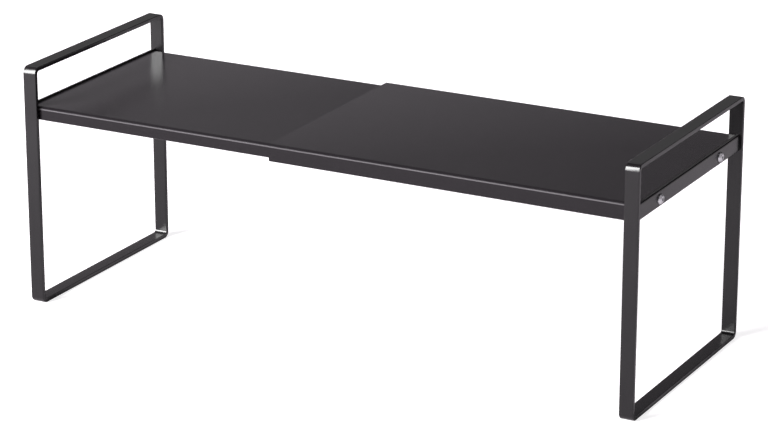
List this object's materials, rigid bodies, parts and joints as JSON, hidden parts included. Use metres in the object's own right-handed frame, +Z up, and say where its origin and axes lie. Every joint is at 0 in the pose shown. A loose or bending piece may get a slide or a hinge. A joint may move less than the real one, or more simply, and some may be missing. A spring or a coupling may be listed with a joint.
{
  "type": "expandable shelf organizer",
  "caption": "Free-standing expandable shelf: folded sheet panels telescope between looped flat-bar leg frames, to stack things on and under.",
  "frame": {"origin": "centre of the footprint on the floor, with the shelf extended as in the picture", "axes": "+X along the shelf towards the outer panel's end, the front faces -Y, +Z up"},
  "size_m": [0.6148, 0.2306, 0.228],
  "materials": {
    "panel_coat": "satin charcoal black powder coat on steel sheet",
    "frame_coat": "satin charcoal black powder coat on flat bar",
    "zinc_plate": "bright zinc plate",
    "nylon": "plain black nylon"
  },
  "bodies": {
    "outer_half": {"outer_panel": "panel_coat", "right_leg_frame": "frame_coat", "right_crossbar": "frame_coat", "right_screw_front": "zinc_plate", "right_screw_rear": "zinc_plate", "right_washer_front": "zinc_plate", "right_washer_rear": "zinc_plate", "right_nut_front": "zinc_plate", "right_nut_rear": "zinc_plate", "mouth_glide_front": "nylon", "mouth_glide_rear": "nylon"},
    "inner_half": {"inner_panel": "panel_coat", "left_leg_frame": "frame_coat", "left_crossbar": "frame_coat", "left_screw_front": "zinc_plate", "left_screw_rear": "zinc_plate", "left_washer_front": "zinc_plate", "left_washer_rear": "zinc_plate", "left_nut_front": "zinc_plate", "left_nut_rear": "zinc_plate", "tail_glide_front": "nylon", "tail_glide_rear": "nylon"}
  },
  "joints": [
    {"name": "panel_slide", "type": "slide", "parent": "outer_half", "child": "inner_half", "axis": [-1, 0, 0], "range_m": [-0.2448, 0.0505]}
  ]
}
